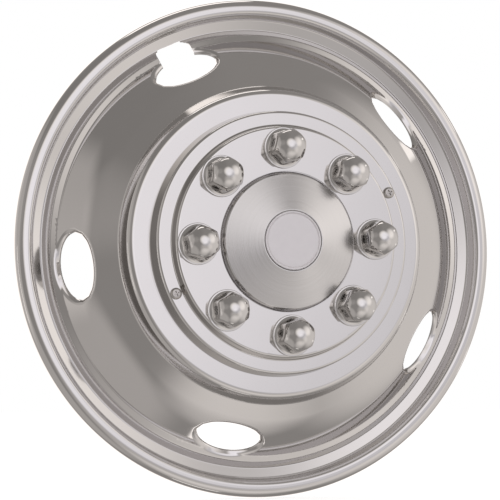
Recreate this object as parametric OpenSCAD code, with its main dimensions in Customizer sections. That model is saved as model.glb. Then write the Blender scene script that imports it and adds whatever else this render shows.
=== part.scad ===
// Front wheel simulator: a pressed stainless liner that covers a 16 inch truck wheel,
// with a tiered hub cover, eight lug covers and a centre cap.
// The profiles are drawn as radius and height above the face of the truck's wheel, then
// turned so that the wheel's axle is the Y axis and the front of the cover faces -Y.

/* [Liner sheet and lip] */
// Thickness of the stainless sheet
sheet_t = 1; // [0.8:0.1:1.2]
// Diameter over the rolled lip
outer_d = 456; // [452:1:474]
// Radius of the rolled lip's round front
lip_r = 6.6; // [5.8:0.1:7.2]
// Height of the lip's crest above the valley floor
lip_rise = 17.6; // [14:0.2:20]
// How far the lip's wall leans outward on its way up
lip_lean = 0.4; // [0:0.1:1.5]
// Depth of the lip's outer skirt behind its widest line
skirt_depth = 8; // [4:0.5:9]
// How far the skirt draws in at its edge
skirt_draw = 2; // [0.2:0.2:2.4]

/* [Liner rings and disc] */
// Diameter of the flat inner flange, up to the corner of the tier wall
flange_d = 273.7; // [270:0.5:278]
// Rounding of the flange's edge
flange_edge_r = 6.5; // [4:0.5:8]
// Drop of the tier wall below the flange
tier_drop = 15.1; // [12:0.1:17]
// Width of the tier wall seen from the front
tier_run = 6; // [5:0.2:8]
// Rounding at the foot of the tier wall
tier_foot_r = 3; // [2:0.2:4]
// Width of the shallow dish outside the tier
dish_run = 22.3; // [19:0.5:25]
// Drop across the shallow dish
dish_drop = 3.4; // [2:0.2:5]
// Rounding where the dish turns down into the cone
brow_r = 14; // [9:0.5:15]
// Width of the cone that carries the hand holes
cone_run = 24.8; // [24:0.2:27]
// Drop of the cone
cone_drop = 32.5; // [30:0.5:35]
// Rounding at the foot of the cone
cone_foot_r = 3; // [1.5:0.1:3.6]
// Width of the flat ledge round the cone
ledge_run = 6; // [5.6:0.2:8]
// Rounding of the ledge's outer edge
ledge_edge_r = 2.5; // [1.5:0.1:3]
// Width of the step from the ledge to the valley
step_run = 6; // [5:0.2:7.5]
// Drop of that step
step_drop = 8.5; // [6:0.5:10]
// Rounding on both sides of the valley floor
valley_r = 1.8; // [1.2:0.1:2.4]

/* [Hand holes] */
// Number of hand holes
hole_count = 5; // [4:1:6]
// Direction of the first hand hole, counted anticlockwise from the right
hole_start = 43; // [0:1:71]
// Clear length of a hand hole
hole_len = 60; // [44:1:66]
// Clear width of a hand hole, along the cone
hole_w = 32; // [26:0.5:32.5]
// Outside rounding of the rolled rim of a hand hole
hole_rim_r = 5; // [4:0.1:5.4]
// How far the rim of a hand hole is rolled in, in degrees
hole_rim_turn = 75; // [55:5:85]
// Which hand hole is open to the valve stem
valve_hole = 1; // [0:1:3]
// Width of the valve notch
notch_w = 33; // [24:0.5:35]
// Corner rounding of the valve notch
notch_r = 7; // [3:0.5:10]

/* [Wheel fitting] */
// Bolt circle of the wheel studs
stud_pcd = 165.1; // [163:0.1:168]
// Direction of the first stud
stud_start = 2.7; // [0:0.1:44]
// Diameter of the stud holes
stud_hole_d = 16; // [14.5:0.5:22]
// Diameter of the hub opening in the flange
hub_bore_d = 125; // [110:0.5:130]

/* [Hub cover plate] */
// Height of the plate's top face above the wheel face
plate_z = 26; // [24:0.2:29]
// Clear width of the plate's top face outside the lug covers
plate_margin = 0.65; // [0.45:0.05:1.15]
// Rounding of the top edge
plate_edge_r = 2.5; // [1.6:0.1:2.8]
// Width of the wall below the top face
plate_wall_run = 2.2; // [1.6:0.1:2.4]
// Height of the lower ring's face
ring_z = 17.2; // [15:0.2:19]
// Width of the lower ring, from the upper wall's foot to its corner
ring_w = 12.5; // [11.8:0.1:13.8]
// Rounding of the lower ring's edge
ring_edge_r = 2.8; // [2:0.1:3.2]
// Width of the outer wall seen from the front
skirt_run = 2.4; // [1.6:0.1:3]
// Rounding at the foot of the upper wall
plate_foot_r = 1.4; // [1:0.1:1.6]

/* [Centre cap] */
// Clear width of the plate between the cap's crown and the lug covers
cap_gap = 4.75; // [4.25:0.25:6.25]
// Height of the crown's rim above the plate
cap_wall_h = 7.2; // [5:0.2:10]
// Rise of the crown from its rim to the badge
cap_rise = 7.9; // [4:0.2:11]
// Rounding of the crown's rim
cap_edge_r = 1.5; // [1.1:0.1:3]
// How far the cap's wall spreads towards its foot
cap_spread = 1.9; // [0.5:0.1:2.1]
// Width of the cap's hidden flange
cap_flange_w = 5.5; // [5:0.1:6]
// Diameter of the plain badge
badge_d = 51.2; // [44:0.4:56]
// Thickness of the badge
badge_t = 1.4; // [1:0.1:2]

/* [Lug covers] */
// Width across the flats of a lug cover
lug_flats = 27.4; // [25.6:0.2:28]
// Height of a lug cover above the plate
lug_h = 28.5; // [24:0.5:33]
// Height of the lug cover's shoulder above the plate
lug_shoulder_h = 18.5; // [13:0.5:20]
// Diameter of the lug cover's flange
lug_flange_d = 36.6; // [35.6:0.1:37.2]
// Wall of a lug cover
lug_wall = 1; // [0.8:0.1:1.4]
// Diameter of the push-on ring behind the plate
push_ring_d = 33.4; // [32.6:0.2:34]
// Thickness of the push-on ring
push_ring_t = 1.2; // [0.8:0.1:1.6]

/* [Screws] */
// Distance of the two screws from the foot of the plate's upper wall
screw_inset = 6.1; // [5.8:0.1:6.5]
// Shank diameter of a screw
screw_d = 4.8; // [4:0.1:5]
// Head diameter of a screw
screw_head_d = 10.2; // [9:0.2:10.4]
// Width of a post across its flats
post_flats = 8; // [7:0.2:8.2]

/* [Hidden] */

stud_count = 8;
gap = 0.1;               // clearance between a shank or sleeve and its hole
polish = [0.80, 0.79, 0.77];
satin = [0.72, 0.71, 0.69];
zinc = [0.62, 0.63, 0.64];
pale = [0.86, 0.85, 0.84];
arc_step = 12;           // largest turn between two points of an arc
round_fn = 144;
hole_fn = 36;

function unit(v) = v / norm(v);
function left_of(d) = [-d[1], d[0]];
function turned(v, a) = [v[0] * cos(a) - v[1] * sin(a), v[0] * sin(a) + v[1] * cos(a)];

// One rounded corner of a path, as a list of [point, outward normal]
function rounded(p0, p1, p2, r) =
    let (d0 = unit(p1 - p0), d1 = unit(p2 - p1),
         side = sign(cross(d0, d1)),
         turn = acos(max(-1, min(1, d0 * d1))),
         start = p1 - d0 * r * tan(turn / 2),
         centre = start + left_of(d0) * side * r,
         n = max(1, ceil(turn / arc_step)))
    r == 0 || turn < 0.01 ? [[p1, left_of(unit(d0 + d1))]] :
    [for (i = [0:n]) let (out = left_of(turned(d0, side * turn * i / n)))
        [centre - out * side * r, out]];

// A path through corners [radius, height, rounding]; its left side is the sheet's face
function path(c) =
    let (last = len(c) - 1, p = [for (q = c) [q[0], q[1]]])
    concat(
        [[p[0], left_of(unit(p[1] - p[0]))]],
        [for (i = [1:last - 1]) each rounded(p[i - 1], p[i], p[i + 1], c[i][2])],
        [[p[last], left_of(unit(p[last] - p[last - 1]))]]);

// The closed outline of a sheet whose face follows a path
function sheet(c, t) =
    let (w = path(c))
    concat([for (q = w) q[0]], [for (i = [len(w) - 1:-1:0]) w[i][0] - w[i][1] * t]);

// Liner profile, from the hub opening to the lip's edge
flange_z = sheet_t;
tier_r = flange_d / 2;
dish_r = tier_r + tier_run;
dish_z = flange_z - tier_drop;
brow = [dish_r + dish_run, dish_z - dish_drop];
foot = brow + [cone_run, -cone_drop];
ledge_r = foot[0] + ledge_run;
valley_in_r = ledge_r + step_run;
valley_z = foot[1] - step_drop;
lip_out_r = outer_d / 2;
lip_in_r = lip_out_r - 2 * lip_r - 0.2;
crest_z = valley_z + lip_rise;
skirt_z = crest_z - lip_r - skirt_depth * 0.4;
skirt_bend_r = 8;
liner_corners = [
    [hub_bore_d / 2, flange_z, 0],
    [tier_r, flange_z, flange_edge_r],
    [dish_r, dish_z, tier_foot_r],
    [brow[0], brow[1], brow_r],
    [foot[0], foot[1], cone_foot_r],
    [ledge_r, foot[1], ledge_edge_r],
    [valley_in_r, valley_z, valley_r],
    [lip_in_r - lip_lean, valley_z, valley_r],
    [lip_in_r, crest_z, lip_r],
    [lip_out_r, crest_z, lip_r],
    [lip_out_r, skirt_z, skirt_bend_r],
    [lip_out_r - skirt_draw, crest_z - lip_r - skirt_depth, 0]
];
cone_dir = unit(foot - brow);
cone_mid = (foot + brow) / 2;
cone_tilt = atan2(cone_dir[0], -cone_dir[1]);

// Hub cover, cap and lug covers, set out from the stud circle
plate_top_d = stud_pcd + lug_flange_d + 2 * plate_margin;
ring_d = plate_top_d + 2 * (plate_wall_run + ring_w);
screw_circle_d = plate_top_d + 2 * (plate_wall_run + screw_inset);
cap_d = stud_pcd - lug_flange_d - 2 * cap_gap;
cap_flange_d = cap_d + 2 * cap_flange_w;
plate_back_z = plate_z - sheet_t;
ring_back_z = ring_z - sheet_t;
cap_hole_r = cap_d / 2 + cap_spread + 1.2;
cap_rim_z = plate_z + cap_wall_h;
badge_seat_z = cap_rim_z + cap_rise - 1.1;
badge_seat_r = badge_d / 2 + 0.4;
retainer_t = 1;
lug_sleeve_r = lug_flats / 2 + 0.4;
lug_cavity_r = lug_flats / 2 - lug_wall;
lug_flange_t = 2;
lug_turns = [35, 20, 18, 28, 40, 33, 22, 3];   // how each lug cover happens to be turned
sleeve_len = push_ring_t + 2;
screw_r = screw_circle_d / 2;
screw_turns = [stud_start + 180 / stud_count, stud_start + 180 / stud_count + 180];

// Turns a shape drawn along +Z so that it faces the front, -Y
module facing() {
    rotate([90, 0, 0]) children();
}

module at_circle(r, a) {
    rotate([0, 0, a]) translate([r, 0, 0]) children();
}

// Length along a profile from its start to each of its points
function lengths(w, i = 0, sum = 0) =
    i == len(w) ? [] :
    let (now = i == 0 ? 0 : sum + norm(w[i][0] - w[i - 1][0]))
    concat([now], lengths(w, i + 1, now));

// Point of a profile at length s, sunk by depth d below its face
function sunk(w, cum, s, d) =
    let (k = max([0, for (i = [0:len(cum) - 2]) if (cum[i] <= s) i]),
         f = (s - cum[k]) / (cum[k + 1] - cum[k]),
         point = w[k][0] * (1 - f) + w[k + 1][0] * f,
         out = unit(w[k][1] * (1 - f) + w[k + 1][1] * f))
    point - out * d;

// Outline of a hand hole at distance o outside its clear opening
function hole_outline(o) =
    let (a = hole_len / 2, b = hole_w / 2)
    [for (i = [0:hole_fn - 1])
        let (t = 360 * i / hole_fn, out = unit([cos(t) / a, sin(t) / b]))
        [a * cos(t) + out[0] * o, b * sin(t) + out[1] * o]];

// Cross-section of the rolled rim: [distance from the opening, depth below the face].
// Both ends lie inside the sheet, so that the rim and the sheet are one piece.
function rim_section() =
    let (r = hole_rim_r, n = 3, inner = r - sheet_t)
    concat(
        [[r + 2, sheet_t * 0.1], [r, sheet_t * 0.1]],
        [for (i = [1:n]) let (a = hole_rim_turn * i / n) [r - r * sin(a), r - r * cos(a)]],
        [for (i = [n:-1:1]) let (a = hole_rim_turn * i / n) [r - inner * sin(a), r - inner * cos(a)]],
        [[r, sheet_t * 0.85], [r + 2, sheet_t * 0.85]]);

// The rolled rim follows the bends of the liner's face
module hand_hole_rim(a) {
    slope = path([for (i = [2:6]) liner_corners[i]]);
    cum = lengths(slope);
    last_above = max([for (i = [0:len(slope) - 1]) if (slope[i][0][0] < cone_mid[0]) i]);
    middle = cum[last_above] + norm(cone_mid - slope[last_above][0]);
    section = rim_section();
    m = len(section);
    rotate([0, 0, a]) polyhedron(
        points = [
            for (q = section) for (u = hole_outline(q[0]))
                let (p = sunk(slope, cum, middle + u[1], q[1]), turn = u[0] / cone_mid[0] * 180 / PI)
                [p[0] * cos(turn), p[0] * sin(turn), p[1]]
        ],
        faces = [
            for (j = [0:m - 1]) for (i = [0:hole_fn - 1])
                let (i2 = (i + 1) % hole_fn, j2 = (j + 1) % m,
                     p00 = j * hole_fn + i, p01 = j * hole_fn + i2,
                     p10 = j2 * hole_fn + i, p11 = j2 * hole_fn + i2)
                each [[p00, p01, p11], [p00, p11, p10]]
        ]);
}

// A straight cut through the cone, square to its middle, that the rolled rim fills
module hand_hole_cut(a) {
    rotate([0, 0, a])
        translate([cone_mid[0], 0, cone_mid[1]])
            rotate([0, 90 - cone_tilt, 0])
                translate([0, 0, -20])
                    linear_extrude(40)
                        polygon([for (u = hole_outline(hole_rim_r + 0.5)) [u[1], u[0]]]);
}

module valve_notch(a) {
    end_r = valley_in_r;
    rotate([0, 0, a])
        translate([0, 0, valley_z - 2 * sheet_t])
            linear_extrude(cone_drop)
                union() {
                    translate([cone_mid[0] + 2, -notch_w / 2])
                        square([end_r - notch_r - cone_mid[0] - 2, notch_w]);
                    translate([end_r - notch_r - 1, -notch_w / 2 + notch_r])
                        square([notch_r + 1, notch_w - 2 * notch_r]);
                    for (s = [-1, 1])
                        translate([end_r - notch_r, s * (notch_w / 2 - notch_r)])
                            circle(r = notch_r, $fn = 48);
                }
}

module liner() {
    hole_turns = [for (i = [0:hole_count - 1]) hole_start + 360 * i / hole_count];
    color(polish) facing() difference() {
        union() {
            difference() {
                rotate_extrude($fn = round_fn) polygon(sheet(liner_corners, sheet_t));
                for (a = hole_turns) hand_hole_cut(a);
            }
            for (a = hole_turns) hand_hole_rim(a);
        }
        valve_notch(hole_turns[valve_hole]);
        for (i = [0:stud_count - 1])
            at_circle(stud_pcd / 2, stud_start + 360 * i / stud_count)
                translate([0, 0, -1]) cylinder(d = stud_hole_d, h = sheet_t + 2, $fn = 48);
        for (a = screw_turns)
            at_circle(screw_r, a) translate([0, 0, -1]) cylinder(r = 3.3, h = sheet_t + 2, $fn = 32);
    }
}

module hub_plate() {
    plate_foot_h = 1.6;
    color(polish) facing() difference() {
        rotate_extrude($fn = round_fn) polygon(sheet([
            [cap_hole_r, plate_z, 0],
            [plate_top_d / 2, plate_z, plate_edge_r],
            [plate_top_d / 2 + plate_wall_run, ring_z, plate_foot_r],
            [ring_d / 2, ring_z, ring_edge_r],
            [ring_d / 2 + skirt_run, flange_z + plate_foot_h, 1.5],
            [ring_d / 2 + skirt_run, flange_z, 0]
        ], sheet_t));
        for (i = [0:stud_count - 1])
            at_circle(stud_pcd / 2, stud_start + 360 * i / stud_count)
                translate([0, 0, plate_back_z - 1])
                    cylinder(r = lug_sleeve_r + gap, h = sheet_t + 2, $fn = 64);
        for (a = screw_turns)
            at_circle(screw_r, a)
                translate([0, 0, ring_back_z - 1]) cylinder(d = screw_d + 0.6, h = sheet_t + 2, $fn = 32);
    }
}

module center_cap() {
    color(satin) facing()
        rotate_extrude($fn = round_fn) polygon(sheet([
            [0, badge_seat_z, 0],
            [badge_seat_r, badge_seat_z, 0.4],
            [badge_seat_r + 0.3, badge_seat_z + 1.2, 1.1],
            [cap_d / 2, cap_rim_z, cap_edge_r],
            [cap_d / 2 + cap_spread, plate_back_z, 1],
            [cap_flange_d / 2, plate_back_z, 0]
        ], sheet_t));
}

// A ring behind the cap's flange, with tabs up to the plate between the lug covers
module cap_retainer() {
    inner_r = cap_d / 2 - 1;
    top_z = plate_back_z - sheet_t;
    tab_w = 10;
    tab_out_r = cap_flange_d / 2 + 8;
    color(zinc) facing() union() {
        translate([0, 0, top_z - retainer_t]) difference() {
            cylinder(d = cap_flange_d, h = retainer_t, $fn = round_fn);
            translate([0, 0, -1]) cylinder(r = inner_r, h = retainer_t + 2, $fn = round_fn);
        }
        for (i = [0:2:stud_count - 1])
            rotate([0, 0, stud_start + (i + 0.5) * 360 / stud_count]) {
                translate([inner_r + 1, -tab_w / 2, top_z - retainer_t])
                    cube([tab_out_r - inner_r - 1, tab_w, retainer_t]);
                translate([cap_flange_d / 2 + gap, -tab_w / 2, top_z - retainer_t])
                    cube([tab_out_r - cap_flange_d / 2 - gap, tab_w, sheet_t + retainer_t]);
            }
    }
}

module badge() {
    r = badge_d / 2;
    color(pale) facing()
        translate([0, 0, badge_seat_z])
            rotate_extrude($fn = round_fn) polygon([
                [0, 0], [r, 0], [r, badge_t - 0.4], [r - 0.4, badge_t],
                [r - 1, badge_t], [r - 1.4, badge_t - 0.4], [0, badge_t - 0.4]
            ]);
}

// Outline of the lug cover's round top, from its shoulder to its crown
function lug_dome(r, shoulder, top) =
    let (brim = r * 0.84, brim_z = shoulder + (top - shoulder) * 0.42,
         rise = top - brim_z, ball = (brim * brim + rise * rise) / (2 * rise),
         half = asin(brim / ball), n = 6)
    concat([[r, shoulder]],
        [for (i = [0:n]) let (a = half * (1 - i / n)) [ball * sin(a), top - ball + ball * cos(a)]]);

module lug_cover(n) {
    corner_r = lug_flats / 2 / cos(30);
    round_r = corner_r * 0.975;
    turn = stud_start + 360 * (n - 1) / stud_count;
    color(polish) facing()
        at_circle(stud_pcd / 2, turn)
            translate([0, 0, plate_z]) difference() {
                union() {
                    intersection() {
                        rotate([0, 0, lug_turns[n - 1] - turn]) cylinder(r = corner_r, h = lug_h + 1, $fn = 6);
                        rotate_extrude($fn = 64)
                            polygon(concat([[0, 0], [round_r, 0]], lug_dome(round_r, lug_shoulder_h, lug_h)));
                    }
                    rotate_extrude($fn = 64) polygon([
                        [0, 0], [lug_flange_d / 2 - 0.6, 0], [lug_flange_d / 2, 0.6],
                        [lug_flange_d / 2, lug_flange_t - 0.6], [lug_flange_d / 2 - 0.6, lug_flange_t],
                        [corner_r + 0.8, lug_flange_t], [corner_r - 0.2, lug_flange_t + 1.2],
                        [corner_r - 1, lug_flange_t + 4], [corner_r - 1.4, lug_flange_t + 8],
                        [0, lug_flange_t + 8]
                    ]);
                    translate([0, 0, -sheet_t - sleeve_len])
                        cylinder(r = lug_sleeve_r, h = sheet_t + sleeve_len + 1, $fn = 64);
                }
                rotate_extrude($fn = 64) polygon(concat(
                    [[0, -sheet_t - sleeve_len - 1], [lug_cavity_r, -sheet_t - sleeve_len - 1]],
                    lug_dome(lug_cavity_r, lug_shoulder_h - lug_wall, lug_h - lug_wall)));
            }
}

module push_ring(n) {
    slot_w = 1.6;
    slot_out_r = lug_sleeve_r + (push_ring_d / 2 - lug_sleeve_r) * 0.55;
    color(zinc) facing()
        at_circle(stud_pcd / 2, stud_start + 360 * (n - 1) / stud_count)
            translate([0, 0, plate_back_z - push_ring_t]) difference() {
                cylinder(d = push_ring_d, h = push_ring_t, $fn = 64);
                translate([0, 0, -1]) cylinder(r = lug_sleeve_r + gap / 2, h = push_ring_t + 2, $fn = 64);
                for (i = [0:2])
                    rotate([0, 0, 60 * i])
                        translate([-slot_out_r, -slot_w / 2, -1]) cube([2 * slot_out_r, slot_w, push_ring_t + 2]);
            }
}

module screw(n) {
    head_h = screw_head_d * 0.28;
    head_r = screw_head_d / 2;
    tip_z = flange_z + 3.4;
    slot_w = screw_d * 0.22;
    slot_len = screw_head_d * 0.5;
    color(zinc) facing() at_circle(screw_r, screw_turns[n - 1]) difference() {
        rotate_extrude($fn = 48) polygon(concat(
            [[0, tip_z], [screw_d / 2 - 0.7, tip_z], [screw_d / 2, tip_z + 0.7],
             [screw_d / 2, ring_z], [head_r, ring_z]],
            [for (a = [0:15:90]) [head_r * 0.55 + head_r * 0.45 * cos(a), ring_z + head_h * (0.35 + 0.65 * sin(a))]],
            [[0, ring_z + head_h]]));
        for (a = [0, 90])
            rotate([0, 0, a]) translate([-slot_len / 2, -slot_w / 2, ring_z + head_h * 0.4])
                cube([slot_len, slot_w, head_h]);
    }
}

// A hexagonal post swaged into the flange; the screw runs into its bore
module screw_post(n) {
    color(zinc) facing() at_circle(screw_r, screw_turns[n - 1]) difference() {
        union() {
            translate([0, 0, flange_z])
                cylinder(r = post_flats / 2 / cos(30), h = ring_back_z - flange_z, $fn = 6);
            translate([0, 0, 0.2]) cylinder(r = 3.3 - gap / 2, h = flange_z, $fn = 32);
        }
        translate([0, 0, flange_z + 1.6]) cylinder(r = screw_d / 2 + gap, h = ring_back_z, $fn = 32);
    }
}

liner();
hub_plate();
center_cap();
cap_retainer();
badge();
for (n = [1:stud_count]) {
    lug_cover(n);
    push_ring(n);
}
for (n = [1:2]) {
    screw(n);
    screw_post(n);
}
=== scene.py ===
import math

import bmesh
import bpy
from mathutils import Matrix, Vector


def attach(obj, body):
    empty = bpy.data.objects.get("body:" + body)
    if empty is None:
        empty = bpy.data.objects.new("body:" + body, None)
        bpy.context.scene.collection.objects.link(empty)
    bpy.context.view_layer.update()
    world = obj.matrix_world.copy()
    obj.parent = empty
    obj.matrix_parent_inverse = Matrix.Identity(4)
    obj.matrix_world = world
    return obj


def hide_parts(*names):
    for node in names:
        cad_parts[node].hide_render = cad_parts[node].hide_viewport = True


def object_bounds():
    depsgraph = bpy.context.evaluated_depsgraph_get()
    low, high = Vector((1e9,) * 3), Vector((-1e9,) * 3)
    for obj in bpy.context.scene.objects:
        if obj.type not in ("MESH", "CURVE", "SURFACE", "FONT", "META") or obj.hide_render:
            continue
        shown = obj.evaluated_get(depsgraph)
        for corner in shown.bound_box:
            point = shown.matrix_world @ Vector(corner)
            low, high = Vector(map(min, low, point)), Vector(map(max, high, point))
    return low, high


MM = 0.001
TAU = 2 * math.pi

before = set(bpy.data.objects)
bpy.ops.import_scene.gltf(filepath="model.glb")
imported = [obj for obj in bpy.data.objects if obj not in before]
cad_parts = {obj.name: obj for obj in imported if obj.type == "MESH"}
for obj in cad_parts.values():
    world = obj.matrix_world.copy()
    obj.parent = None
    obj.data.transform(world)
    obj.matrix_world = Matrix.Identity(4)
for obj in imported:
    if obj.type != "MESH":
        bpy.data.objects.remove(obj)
cad_low, cad_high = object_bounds()

# Sizes in mm and turns in degrees. A corner of a section is its radius from the axle, its height
# above the face of the truck's wheel, and the radius of the bend there.
SHEET = 1.0
VALLEY, PLATE_TOP, BADGE_SEAT = 201.3, 26, 40
LINER = [(62.5, 1, 0), (136.85, 1, 6.5), (142.85, -14.1, 3), (168, -27.5, 90), (189.8, -48.6, 3),
         (195.6, -50.4, 3), (VALLEY, -58.2, 1), (211.2, -55, 3), (212.8, -41.2, 5.2),
         (228, -41.2, 9), (228, -52.5, 4), (226, -55.5, 0)]
HUB_PLATE = [(62.6, PLATE_TOP, 0), (101.5, PLATE_TOP, 2.5), (103.7, 17.2, 1.4), (116.2, 17.2, 2.8),
             (118.6, 2.6, 1.5), (118.6, 1, 0)]
CAP = [(0, BADGE_SEAT, 0), (26, BADGE_SEAT, 0.4), (26.3, 41.2, 1.1), (59.5, 31.4, 1.5),
       (61.4, 25, 1), (65, 25, 0)]
CONE_MIDDLE = 177.55
HAND_HOLES = [43, 115, 187, 259, 331]
VALVE_HOLE = 115
FIRST_STUD, STUD_STEP = 2.7, 45
STUDS = [FIRST_STUD + STUD_STEP * n for n in range(8)]
STUD_CIRCLE = 82.55
SCREWS = [25.2, 205.2]
SCREW_CIRCLE = 109.8
NUT_FLATS = 27.4
NUT_CORNER = NUT_FLATS / 2 / math.cos(math.radians(30))
NUT_TURNS = [35, 20, 18, 28, 40, 33, 22, 3]

# What the steel mirrors. A lamp has its azimuth and elevation, the angles from its middle where it
# starts to fade and where it ends, and its strength. A panel has its azimuth and elevation, half
# its width and height, the softness of its edge, and its strength.
ROOM_LEVEL = 0.34
LAMPS = [(2, 15, 8, 31, 0.88), (70, -4, 20, 58, 0.50), (48, 22, 8, 30, 0.42), (150, 0, 10, 50, 0.40),
         (15, -28, 8, 40, 0.28), (12, -56, 6, 30, 0.34), (-62, 50, 10, 45, -0.05),
         (-92, 8, 26, 40, 0.24), (-80, -42, 22, 38, 0.20), (-140, 0, 10, 50, 0.20),
         (-48, 16, 5, 20, 0.08)]
PANELS = [(180, 74, 16, 9, 2.0, 1.9), (-91, -9, 1.6, 12, 0.8, 1.9), (10, -85, 7, 3, 1.0, 1.5),
          (92, 27, 8, 3, 1.5, 1.5), (103, -15, 6, 3, 1.5, 1.4)]

# The camera looks at the middle of the lip's circle, slid a little across its view.
CAMERA_AZIMUTH, CAMERA_ELEVATION, CAMERA_DISTANCE = -18.5, -3.8, 1730.7
CAMERA_RIGHT, CAMERA_UP = -9.64, -2.8
LIP_DEPTH = 47.8
PHOTO_PIXELS, FOCAL_PIXELS = 500, 1894
FILM_WIDTH = 36


def facing(radius, turn, height):
    """A place given about the axle, in the frame's axes and in metres."""
    return Vector((radius * math.cos(turn), -height, radius * math.sin(turn))) * MM


def left_of(way):
    """A direction in the section, a quarter turn to the left of another."""
    return Vector((-way.y, way.x))


class Profile:
    """A sheet's face in section: straight runs joined by round bends, measured by length."""

    def __init__(self, corners):
        points = [Vector(c[:2]) for c in corners]
        self.runs = []
        here, length = points[0], 0.0
        for i in range(1, len(points)):
            way = (points[i] - points[i - 1]).normalized()
            bend = corners[i][2]
            turn = 0.0
            if bend:
                onward = (points[i + 1] - points[i]).normalized()
                turn = math.atan2(way.x * onward.y - way.y * onward.x, way.dot(onward))
            stop = points[i] - way * bend * math.tan(abs(turn) / 2)
            run = (stop - here).length
            self.runs.append((length, run, here, way, 0.0))
            length += run
            if bend:
                self.runs.append((length, abs(turn) * bend, stop, way, math.copysign(bend, turn)))
                length += abs(turn) * bend
                here = points[i] + onward * bend * math.tan(abs(turn) / 2)
        self.length = length

    def at(self, s):
        """The face's point at length s, and the way out of the sheet there."""
        run = next((r for r in self.runs if s <= r[0] + r[1]), self.runs[-1])
        begin, _, start, way, bend = run
        if not bend:
            return start + way * (s - begin), left_of(way)
        out = left_of(way)
        out.rotate(Matrix.Rotation((s - begin) / bend, 2))
        return start + left_of(way) * bend - out * bend, out

    def marks(self, run_step, bend_step):
        """Lengths at which the sheet gets a row: closer round the bends."""
        found = [0.0]
        for begin, size, _, _, bend in self.runs:
            if size > 1e-6:
                steps = math.ceil(size / (abs(bend) * bend_step if bend else run_step))
                found += [begin + size * (k + 1) / steps for k in range(steps)]
        return found

    def length_at(self, radius):
        """The length at which a face that runs outward reaches a radius, found by halving."""
        low, high = 0.0, self.length
        for _ in range(40):
            middle = (low + high) / 2
            low, high = (middle, high) if self.at(middle)[0].x < radius else (low, middle)
        return low


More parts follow.
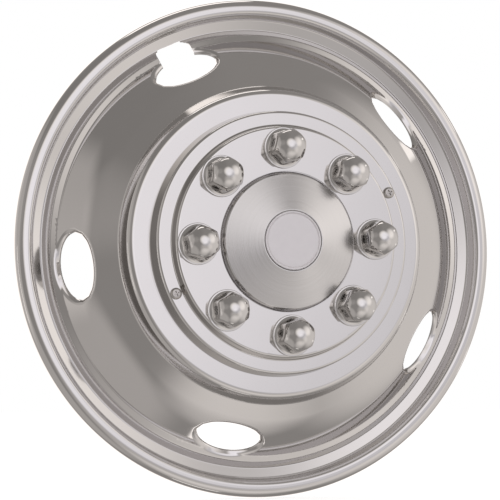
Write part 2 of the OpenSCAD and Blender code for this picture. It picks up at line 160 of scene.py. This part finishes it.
class Pressing:
    """A round pressed sheet. It is drawn flat, as turn, length along the profile and height off
    the face, its holes are opened there, and it is bent to its profile last."""

    def __init__(self, corners, seam, columns=240, run_step=4.0, bend_step=math.radians(9)):
        self.profile = Profile(corners)
        self.seam = math.radians(seam)
        self.mesh = bmesh.new()
        marks = self.profile.marks(run_step, bend_step)
        rows = len(marks) - 1
        bmesh.ops.create_grid(self.mesh, x_segments=columns, y_segments=rows, size=1)
        self.out = self.mesh.verts.layers.float_vector.new("out")
        self.aim = self.mesh.verts.layers.float_vector.new("aim")
        self.round = self.mesh.verts.layers.float.new("round")
        self.side = self.mesh.faces.layers.int.new("side")
        for v in self.mesh.verts:
            column, row = round((v.co.x + 1) / 2 * columns), round((v.co.y + 1) / 2 * rows)
            v.co = (self.seam + TAU * column / columns, marks[row], 0)
            v[self.out] = (0, 0, 1)

    def turn_of(self, degrees):
        """An angle in degrees as a turn on the flat sheet, which starts at its seam."""
        return self.seam + (math.radians(degrees) - self.seam) % TAU

    def open_hole(self, middle, scale, wide, low, high, outline, grow=0.0, rings=8, roll=None):
        """Clears a block of the sheet, and draws its edge in to the hole's outline.
        A roll of (radius, turn, steps) then curls the edge back through the sheet."""
        bm = self.mesh

        def near(v):
            return abs(v.co.x - middle.x) <= wide + 1e-6 and low - 1e-4 <= v.co.y <= high + 1e-4

        block = [f for f in bm.faces if all(near(v) for v in f.verts)]
        bmesh.ops.delete(bm, geom=block, context="FACES")
        edge = [e for e in bm.edges if e.is_boundary and all(near(v) for v in e.verts)]

        def bearing(p):
            return math.atan2(p[1] - middle.y, (p[0] - middle.x) * scale)

        tries, damping = 60, 0.7
        for v in {v for e in edge for v in e.verts}:
            aim = turn = bearing(v.co)
            for _ in range(tries):
                miss = aim - bearing(outline(turn, grow)[0])
                turn += damping * ((miss + math.pi) % TAU - math.pi)
            v[self.round] = turn
            v[self.aim] = (*outline(turn, grow)[0], 0)
        for k in range(rings):
            edge, verts = self.draw_on(edge)
            for v in verts:
                v.co += (v[self.aim] - v.co) / (rings - k)
        if roll:
            radius, full, steps = roll
            for k in range(steps):
                edge, verts = self.draw_on(edge)
                curl = full * (k + 1) / steps
                for v in verts:
                    point, way = outline(v[self.round], radius - radius * math.sin(curl))
                    v.co = (*point, radius * math.cos(curl) - radius)
                    v[self.out] = (-way.x * math.sin(curl), -way.y * math.sin(curl), math.cos(curl))

    def draw_on(self, edge):
        """Adds a ring of faces along an open edge, and gives the new edge and its points."""
        made = bmesh.ops.extrude_edge_only(self.mesh, edges=edge)["geom"]
        verts = [g for g in made if isinstance(g, bmesh.types.BMVert)]
        new = set(verts)
        edges = [g for g in made if isinstance(g, bmesh.types.BMEdge)]
        return [e for e in edges if e.is_boundary and new.issuperset(e.verts)], verts

    def round_hole(self, circle, degrees, radius, wide, reach):
        """A plain round hole, square to a flat part of the sheet."""
        middle = Vector((self.turn_of(degrees), self.profile.length_at(circle)))

        def outline(turn, grow):
            across, out = (radius + grow) * math.cos(turn), (radius + grow) * math.sin(turn) + circle
            length = self.profile.length_at(math.hypot(across, out))
            return (middle.x + math.atan2(across, out), length), Vector((math.cos(turn), math.sin(turn)))

        self.open_hole(middle, circle, math.radians(wide), middle.y - reach, middle.y + reach, outline)

    def hand_hole(self, degrees):
        """A long hole along the cone, with its rim rolled in."""
        half_long, half_wide, radius, curl, block = 30, 16, 5, 75, 13.5
        middle = Vector((self.turn_of(degrees), self.profile.length_at(CONE_MIDDLE)))
        # The sheet is cleared between the dish's wide bend and the ledge's outer one
        dish_bend, ledge_bend = self.profile.runs[5], self.profile.runs[9]

        def outline(turn, grow):
            way = Vector((math.cos(turn) / half_long, math.sin(turn) / half_wide)).normalized()
            across = half_long * math.cos(turn) + way.x * grow
            along = half_wide * math.sin(turn) + way.y * grow
            return (middle.x + across / CONE_MIDDLE, middle.y + along), way

        self.open_hole(middle, CONE_MIDDLE, math.radians(block), dish_bend[0], ledge_bend[0],
                       outline, grow=radius, rings=10, roll=(radius, math.radians(curl), 8))

    def valve_notch(self, degrees):
        """Cuts the hole open outward, straight through its rim, as far as the valley."""
        half, corner, end = 16.5, 7, VALLEY
        middle, start = self.turn_of(degrees), CONE_MIDDLE + 2
        bm = self.mesh

        def flat(out, across):
            length = self.profile.length_at(math.hypot(across, out))
            return Vector((middle + math.atan2(across, out), length, 0))

        def plan(p):
            radius = self.profile.at(p.y)[0].x
            return radius * math.cos(p.x - middle), radius * math.sin(p.x - middle)

        def cut(a, b, margin):
            low, high = min(a.y, b.y) - margin, max(a.y, b.y) + margin
            left, right = min(a.x, b.x) - margin * 0.01, max(a.x, b.x) + margin * 0.01
            centres = [(f, f.calc_center_median()) for f in bm.faces]
            faces = [f for f, c in centres if low < c.y < high and left < c.x < right]
            geom = set(faces) | {e for f in faces for e in f.edges} | {v for f in faces for v in f.verts}
            across = Vector((b.y - a.y, a.x - b.x, 0)).normalized()
            made = bmesh.ops.bisect_plane(bm, geom=list(geom), plane_co=a, plane_no=across, dist=1e-6)
            return made["geom_cut"]

        for side in (-1, 1):
            arc = [(end - corner + corner * math.sin(a), side * (half - corner + corner * math.cos(a)))
                   for a in (math.radians(18 * k) for k in range(6))]
            wall = flat((start + end - corner) / 2, side * half).x
            foot, top = flat(start + 6, 0).y, flat(end - corner, 0).y
            for v in cut(Vector((wall, foot, 0)), Vector((wall, top, 0)), margin=6):
                if isinstance(v, bmesh.types.BMVert):
                    v.co.x = middle + side * math.asin(half / self.profile.at(v.co.y)[0].x)
            for a, b in zip(arc, arc[1:]):
                cut(flat(*a), flat(*b), margin=3)
        cut(flat(end, -half + corner), flat(end, half - corner), margin=3)

        def gone(f):
            out, across = plan(f.calc_center_median())
            beyond, wide = out - (end - corner), abs(across) - (half - corner)
            if not (start < out < end and abs(across) < half):
                return False
            return beyond < 0 or wide < 0 or math.hypot(beyond, wide) < corner

        bmesh.ops.delete(bm, geom=[f for f in bm.faces if gone(f)], context="FACES")

    def bend(self, name):
        """Bends the pattern to its profile, closes the seam and gives the sheet its thickness."""
        bm = self.mesh
        for v in bm.verts:
            turn, s, lift = v.co
            point, out = self.profile.at(s)
            along = Vector((out.y, -out.x))
            place = point + out * lift
            across, on, off = v[self.out]
            away = along * on + out * off
            v.co = facing(place.x, turn, place.y)
            v[self.out] = (away.x * math.cos(turn) - across * math.sin(turn), -away.y,
                           away.x * math.sin(turn) + across * math.cos(turn))
        bmesh.ops.remove_doubles(bm, verts=bm.verts, dist=1e-6)
        front = list(bm.faces)
        made = bmesh.ops.extrude_face_region(bm, geom=front, use_keep_orig=True)["geom"]
        for v in made:
            if isinstance(v, bmesh.types.BMVert):
                v.co -= v[self.out] * SHEET * MM
        back = {f for f in made if isinstance(f, bmesh.types.BMFace)}
        front = set(front)
        for f in bm.faces:
            f[self.side] = 1 if f in front else -1 if f in back else 0
        bmesh.ops.recalc_face_normals(bm, faces=bm.faces)
        return self.shade(name)

    def shade(self, name):
        """Shades both faces by the true direction of the profile, and the cut edges flat."""
        mesh = bpy.data.meshes.new(name)
        self.mesh.to_mesh(mesh)
        self.mesh.free()
        outs, sides = mesh.attributes["out"].data, mesh.attributes["side"].data
        normals = []
        for face in mesh.polygons:
            face.use_smooth = True
            side = sides[face.index].value
            for corner in face.loop_indices:
                out = outs[mesh.loops[corner].vertex_index].vector
                normals.append(Vector(out) * side if side else face.normal.copy())
        mesh.normals_split_custom_set(normals)
        for spare in ("out", "aim", "round", "side"):
            mesh.attributes.remove(mesh.attributes[spare])
        piece = bpy.data.objects.new(name, mesh)
        bpy.context.scene.collection.objects.link(piece)
        return piece


def make_liner():
    liner = Pressing(LINER, seam=16)
    for hole in HAND_HOLES:
        liner.hand_hole(hole)
    liner.valve_notch(VALVE_HOLE)
    for stud in STUDS:
        liner.round_hole(STUD_CIRCLE, stud, radius=8, wide=9, reach=12.5)
    for screw in SCREWS:
        liner.round_hole(SCREW_CIRCLE, screw, radius=3.3, wide=3.2, reach=6.5)
    return liner.bend("liner_sheet")


def make_hub_plate():
    plate = Pressing(HUB_PLATE, seam=FIRST_STUD - STUD_STEP / 2, run_step=3.0)
    for stud in STUDS:
        plate.round_hole(STUD_CIRCLE, stud, radius=14.2, wide=13.6, reach=17.5)
    for screw in SCREWS:
        plate.round_hole(SCREW_CIRCLE, screw, radius=2.7, wide=3.2, reach=4.6)
    return plate.bend("hub_plate_sheet")


def make_cap():
    return Pressing(CAP, seam=0, columns=192, run_step=3.0).bend("spun_cap")


def turned(name, section, columns, squeeze=None, place=None):
    """Turns a closed section about its own axis, then puts it in its place on the cover."""
    bm = bmesh.new()
    verts = [bm.verts.new((r, 0, z)) for r, z in section]
    edges = [bm.edges.new((a, b)) for a, b in zip(verts, verts[1:] + verts[:1])
             if max(a.co.x, b.co.x) > 1e-6]
    bmesh.ops.spin(bm, geom=verts + edges, cent=(0, 0, 0), axis=(0, 0, 1), angle=TAU,
                   steps=columns, use_merge=True)
    bmesh.ops.remove_doubles(bm, verts=bm.verts, dist=1e-5)
    if squeeze:
        for v in bm.verts:
            squeeze(v)
    bmesh.ops.recalc_face_normals(bm, faces=bm.faces)
    stand = Matrix.Rotation(math.radians(90), 4, "X")
    bmesh.ops.transform(bm, verts=bm.verts, matrix=Matrix.Scale(MM, 4) @ stand @ (place or Matrix()))
    mesh = bpy.data.meshes.new(name)
    bm.to_mesh(mesh)
    bm.free()
    mesh.shade_smooth()
    mesh.set_sharp_from_angle(angle=math.radians(40))
    piece = bpy.data.objects.new(name, mesh)
    bpy.context.scene.collection.objects.link(piece)
    return piece


def make_badge():
    """A flat disc with a groove and a raised border."""
    face = Profile([(0, 1, 0), (23.1, 1, 0.2), (23.7, 0.72, 0.2), (24.3, 1.4, 0.3),
                    (25.55, 1.4, 0.35), (25.6, 0, 0)])
    marks = face.marks(2.5, math.radians(15))
    section = [tuple(face.at(s)[0]) for s in marks] + [(0, 0)]
    return turned("plain_badge", section, columns=128, place=Matrix.Translation((0, 0, BADGE_SEAT)))


def soft_min(a, b, blend):
    """The smaller of two lengths, with the corner between them rounded."""
    h = max(blend - abs(a - b), 0) / blend
    return min(a, b) - h * h * blend / 4


def make_nut(n):
    """A lug cover: flange, hexagonal body and a dome that scallops the flats."""
    body, shoulder, top = NUT_CORNER * 0.975, 18.5, 28.5
    dome_edge, dome_foot = body * 0.84, shoulder + (top - shoulder) * 0.42
    flange, sleeve, sleeve_end = 18.3, 14.1, -4.2
    bore, bore_dome, bore_top = 12.7, 17.5, 27.5
    rise = top - dome_foot
    ball = (dome_edge * dome_edge + rise * rise) / (2 * rise)
    half = math.asin(dome_edge / ball)
    around = [half * k / 14 for k in range(15)]
    outer = [(ball * math.sin(a), top - ball + ball * math.cos(a)) for a in around]
    side = Profile([(dome_edge, dome_foot, 0), (body, shoulder, 2.0), (body, 6, 0),
                    (body - 0.15, 3.0, 1.2), (17.0, 2, 0.8), (flange, 2, 0.6), (flange, 0, 0.5),
                    (sleeve, 0, 0.3), (sleeve, sleeve_end, 0)])
    outer += [tuple(side.at(s)[0]) for s in side.marks(1.6, math.radians(15))][1:]
    inner = [(bore, z) for z in (sleeve_end, 0, 6, 12, bore_dome)]
    around = [math.radians(75 - 15 * k) for k in range(5)]
    inner += [(bore * math.sin(a), bore_dome + (bore_top - bore_dome) * math.cos(a)) for a in around]
    inner.append((0, bore_top))

    turn = math.radians(NUT_TURNS[n - 1])
    sixth = math.radians(60)
    hex_foot, hex_full, corner_blend = 2.2, 2.6, 1.1

    def squeeze(v):
        r, z = math.hypot(v.co.x, v.co.y), v.co.z
        if z < hex_foot or r < bore + 0.05:
            return
        flat = (math.atan2(v.co.y, v.co.x) - turn + sixth / 2) % sixth - sixth / 2
        hexed = NUT_FLATS / 2 / math.cos(sixth / 2 - abs(flat))
        hold = min(max((z - hex_foot) / hex_full, 0), 1)
        new = r + (soft_min(r, hexed, corner_blend) - r) * hold * hold * (3 - 2 * hold)
        v.co.x *= new / r
        v.co.y *= new / r

    a = math.radians(STUDS[n - 1])
    place = Matrix.Translation((STUD_CIRCLE * math.cos(a), STUD_CIRCLE * math.sin(a), PLATE_TOP))
    return turned(f"lug_cover_shell_{n}", outer + inner, 96, squeeze, place)


# Finishes

class Reading:
    """A number that changes over a surface or round the room, for sums written as plain expressions."""

    def __init__(self, finish, socket):
        self.finish, self.socket = finish, socket

    def _with(self, operation, a, b):
        return self.finish.node("ShaderNodeMath", {"operation": operation}, {0: a, 1: b})

    def __add__(self, other):
        return self._with("ADD", self, other)

    def __sub__(self, other):
        return self._with("SUBTRACT", self, other)

    def __rsub__(self, other):
        return self._with("SUBTRACT", other, self)

    def __mul__(self, other):
        return self._with("MULTIPLY", self, other)

    def __truediv__(self, other):
        return self._with("DIVIDE", self, other)

    __radd__, __rmul__ = __add__, __mul__

    def most(self, other):
        return self._with("MAXIMUM", self, other)

    def size(self):
        return self._with("ABSOLUTE", self, 0.0)

    def ease(self, low, high):
        """0 below low, 1 above high, and a smooth rise between them."""
        return self.finish.node("ShaderNodeMapRange", {"interpolation_type": "SMOOTHSTEP"},
                                {"Value": self, "From Min": low, "From Max": high})


class Finish:
    """One material or the world, with the one method that adds its nodes."""

    def __init__(self, owner):
        self.owner = owner
        owner.use_nodes = True
        self.tree = owner.node_tree
        self.tree.nodes.clear()

    def node(self, kind, settings=None, inputs=None, output=0):
        made = self.tree.nodes.new(kind)
        for key, value in (settings or {}).items():
            setattr(made, key, value)
        for key, value in (inputs or {}).items():
            if isinstance(value, Reading):
                self.tree.links.new(value.socket, made.inputs[key])
            else:
                made.inputs[key].default_value = value
        return Reading(self, made.outputs[output])

    def part(self, reading, output):
        """Another output of the node that a reading came from."""
        return Reading(self, reading.socket.node.outputs[output])

    def mix(self, factor, a, b):
        """A colour between two others."""
        return self.node("ShaderNodeMix", {"data_type": "RGBA"}, {0: factor, 6: a, 7: b}, output=2)

    def close(self, shader, kind="ShaderNodeOutputMaterial"):
        """Joins the finished shader to the output."""
        output = self.tree.nodes.new(kind)
        self.tree.links.new(shader.socket, output.inputs["Surface"])


def new_finish(name):
    return Finish(bpy.data.materials.new(name))


def polished_steel():
    """Mirror-polished stainless, with the faint haze and waviness of a buffed pressing."""
    f = new_finish("polished_steel")
    place = f.node("ShaderNodeTexCoord", output="Object")
    haze = f.node("ShaderNodeTexNoise", {}, {"Vector": place, "Scale": 9.0, "Detail": 3.0})
    fine = f.node("ShaderNodeTexNoise", {}, {"Vector": place, "Scale": 900.0, "Detail": 2.0})
    wave = f.node("ShaderNodeTexNoise", {}, {"Vector": place, "Scale": 26.0, "Detail": 1.0})
    bump = f.node("ShaderNodeBump", {}, {"Strength": 0.10, "Distance": 0.0004, "Height": wave})
    colour = f.mix(haze, (0.60, 0.585, 0.57, 1), (0.66, 0.645, 0.635, 1))
    rough = 0.03 + haze * 0.03 + fine * 0.02
    f.close(f.node("ShaderNodeBsdfPrincipled", {}, {
        "Base Color": colour, "Metallic": 1.0, "Roughness": rough, "Normal": bump}))
    return f.owner


def spun_steel():
    """Satin steel with the fine circular grain of a lathe, and a bright side wall."""
    f = new_finish("satin_steel")
    place = f.node("ShaderNodeTexCoord", output="Object")
    axes = f.node("ShaderNodeSeparateXYZ", {}, {0: place})
    x, z = f.part(axes, 0), f.part(axes, 2)
    radius = f.node("ShaderNodeMath", {"operation": "SQRT"}, {0: x * x + z * z})
    ring = f.node("ShaderNodeCombineXYZ", {}, {0: radius * 2600.0, 1: x * 14.0, 2: z * 14.0})
    grain = f.node("ShaderNodeTexNoise", {}, {"Vector": ring, "Scale": 1.0, "Detail": 2.0})
    bump = f.node("ShaderNodeBump", {}, {"Strength": 0.35, "Distance": 0.00008, "Height": grain})
    colour = f.mix(grain, (0.56, 0.55, 0.545, 1), (0.66, 0.65, 0.65, 1))
    wall = radius.ease(0.0585, 0.0600)
    rough = (0.20 + grain * 0.08) * (1 - wall) + 0.05 * wall
    f.close(f.node("ShaderNodeBsdfPrincipled", {}, {
        "Base Color": colour, "Metallic": 1.0, "Roughness": rough, "Normal": bump}))
    return f.owner


def badge_face():
    """A pale satin enamel, left plain."""
    f = new_finish("badge_face")
    place = f.node("ShaderNodeTexCoord", output="Object")
    cloud = f.node("ShaderNodeTexNoise", {}, {"Vector": place, "Scale": 120.0, "Detail": 3.0})
    bump = f.node("ShaderNodeBump", {}, {"Strength": 0.08, "Distance": 0.0002, "Height": cloud})
    colour = f.mix(cloud, (0.74, 0.72, 0.74, 1), (0.80, 0.78, 0.80, 1))
    f.close(f.node("ShaderNodeBsdfPrincipled", {}, {
        "Base Color": colour, "Metallic": 0.35, "Roughness": 0.34 + cloud * 0.08, "Normal": bump}))
    return f.owner


def plated_steel():
    """Bright zinc on small fasteners and rings."""
    f = new_finish("plated_steel")
    place = f.node("ShaderNodeTexCoord", output="Object")
    cloud = f.node("ShaderNodeTexNoise", {}, {"Vector": place, "Scale": 260.0, "Detail": 4.0})
    bump = f.node("ShaderNodeBump", {}, {"Strength": 0.15, "Distance": 0.0002, "Height": cloud})
    colour = f.mix(cloud, (0.38, 0.36, 0.34, 1), (0.54, 0.52, 0.50, 1))
    f.close(f.node("ShaderNodeBsdfPrincipled", {}, {
        "Base Color": colour, "Metallic": 1.0, "Roughness": 0.18 + cloud * 0.16, "Normal": bump}))
    return f.owner


# Room, floor and camera

def direction(azimuth, elevation):
    """A way out from the cover: azimuth from straight in front, rising to the right."""
    a, e = math.radians(azimuth), math.radians(elevation)
    return Vector((math.sin(a) * math.cos(e), -math.cos(a) * math.cos(e), math.sin(e)))


def make_room():
    """A pale room. What the steel mirrors is a grey studio with soft panels; the camera sees white."""
    room = Finish(bpy.data.worlds.new("studio"))
    bpy.context.scene.world = room.owner
    way = room.node("ShaderNodeTexCoord", output="Generated")

    def along(azimuth, elevation):
        return room.node("ShaderNodeVectorMath", {"operation": "DOT_PRODUCT"},
                         {0: way, 1: direction(azimuth, elevation)}, output="Value")

    def lamp(azimuth, elevation, inner, outer):
        """A round patch of light that fades from its inner angle to its outer one."""
        fade, full = math.cos(math.radians(outer)), math.cos(math.radians(inner))
        return along(azimuth, elevation).ease(fade, full)

    def panel(azimuth, elevation, wide, high, soft):
        """A soft-edged rectangle square to a direction; its half sizes are in degrees."""
        to = direction(azimuth, elevation)
        side = Vector((0, 0, 1)).cross(to).normalized()
        up = to.cross(side)
        depth = along(azimuth, elevation).most(0.01)
        found = depth.ease(0.02, 0.1)
        for axis, half in ((side, wide), (up, high)):
            off = room.node("ShaderNodeVectorMath", {"operation": "DOT_PRODUCT"},
                            {0: way, 1: axis}, output="Value").size() / depth
            full, end = math.tan(math.radians(half - soft)), math.tan(math.radians(half + soft))
            found = found * (1 - off.ease(full, end))
        return found

    light = ROOM_LEVEL
    for azimuth, elevation, inner, outer, strength in LAMPS:
        light = light + lamp(azimuth, elevation, inner, outer) * strength
    for azimuth, elevation, wide, high, soft, strength in PANELS:
        light = light.most(panel(azimuth, elevation, wide, high, soft) * strength)
    behind = (0 - along(0, 0)).ease(0.45, 0.75)
    light = light.most(behind * 1.6)
    path = room.node("ShaderNodeLightPath")
    camera, glossy = room.part(path, "Is Camera Ray"), room.part(path, "Is Glossy Ray")
    plain_level = 0.9
    strength = light * glossy + plain_level * (1 - glossy) * (1 - camera) + camera
    tint = room.mix(lamp(12, 6, 11, 34), (1.0, 0.95, 0.92, 1), (1.0, 0.975, 1.02, 1))
    tint = room.mix(camera, tint, (1, 1, 1, 1))
    room.close(room.node("ShaderNodeBackground", {}, {"Color": tint, "Strength": strength}),
               "ShaderNodeOutputWorld")


def make_floor():
    """A pale floor that the camera sees as white and the steel doesn't mirror."""
    half_side, glow_level = 4, 0.79
    bm = bmesh.new()
    bmesh.ops.create_grid(bm, x_segments=1, y_segments=1, size=half_side)
    bmesh.ops.translate(bm, verts=bm.verts, vec=(0, 0, cad_low.z))
    mesh = bpy.data.meshes.new("floor")
    bm.to_mesh(mesh)
    bm.free()
    floor = bpy.data.objects.new("floor", mesh)
    bpy.context.scene.collection.objects.link(floor)
    f = new_finish("pale_floor")
    path = f.node("ShaderNodeLightPath")
    camera = f.part(path, "Is Camera Ray")
    glow = f.node("ShaderNodeEmission", {}, {"Color": (1, 1, 1, 1), "Strength": camera * glow_level})
    paint = f.node("ShaderNodeBsdfDiffuse", {}, {"Color": (0.36, 0.36, 0.36, 1)})
    f.close(f.node("ShaderNodeAddShader", {}, {0: glow, 1: paint}))
    mesh.materials.append(f.owner)
    floor.visible_glossy = False


def make_camera():
    back = direction(CAMERA_AZIMUTH, CAMERA_ELEVATION)
    right = Vector((0, 0, 1)).cross(back).normalized()
    up = back.cross(right)
    lip = Vector((0, LIP_DEPTH, 0))
    place = (lip + back * CAMERA_DISTANCE + right * CAMERA_RIGHT + up * CAMERA_UP) * MM
    lens = bpy.data.cameras.new("camera")
    lens.sensor_width, lens.lens = FILM_WIDTH, FOCAL_PIXELS / PHOTO_PIXELS * FILM_WIDTH
    lens.clip_start, lens.clip_end = 0.05, 50
    camera = bpy.data.objects.new("camera", lens)
    bpy.context.scene.collection.objects.link(camera)
    camera.matrix_world = Matrix.Translation(place) @ Matrix((right, up, back)).transposed().to_4x4()
    bpy.context.scene.camera = camera


def dress(piece, finish, nodes):
    """Puts a finish on a piece, fixes it to the cover and lets it stand for its plain solid."""
    piece.data.materials.clear()
    piece.data.materials.append(finish)
    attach(piece, "root")
    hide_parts(*nodes)


polished, satin, enamel, zinc = polished_steel(), spun_steel(), badge_face(), plated_steel()

dress(make_liner(), polished, ["liner"])
dress(make_hub_plate(), polished, ["hub_plate"])
dress(make_cap(), satin, ["center_cap"])
dress(make_badge(), enamel, ["badge"])
for n in range(1, 9):
    dress(make_nut(n), polished, [f"lug_cover_{n}"])

plated = ["cap_retainer"] + [f"push_ring_{n}" for n in range(1, 9)]
plated += [f"{kind}_{n}" for kind in ("screw", "screw_post") for n in (1, 2)]
for name in plated:
    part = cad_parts[name]
    part.data.materials.clear()
    part.data.materials.append(zinc)

make_room()
make_floor()
make_camera()
scene = bpy.context.scene
scene.view_settings.view_transform = "Standard"
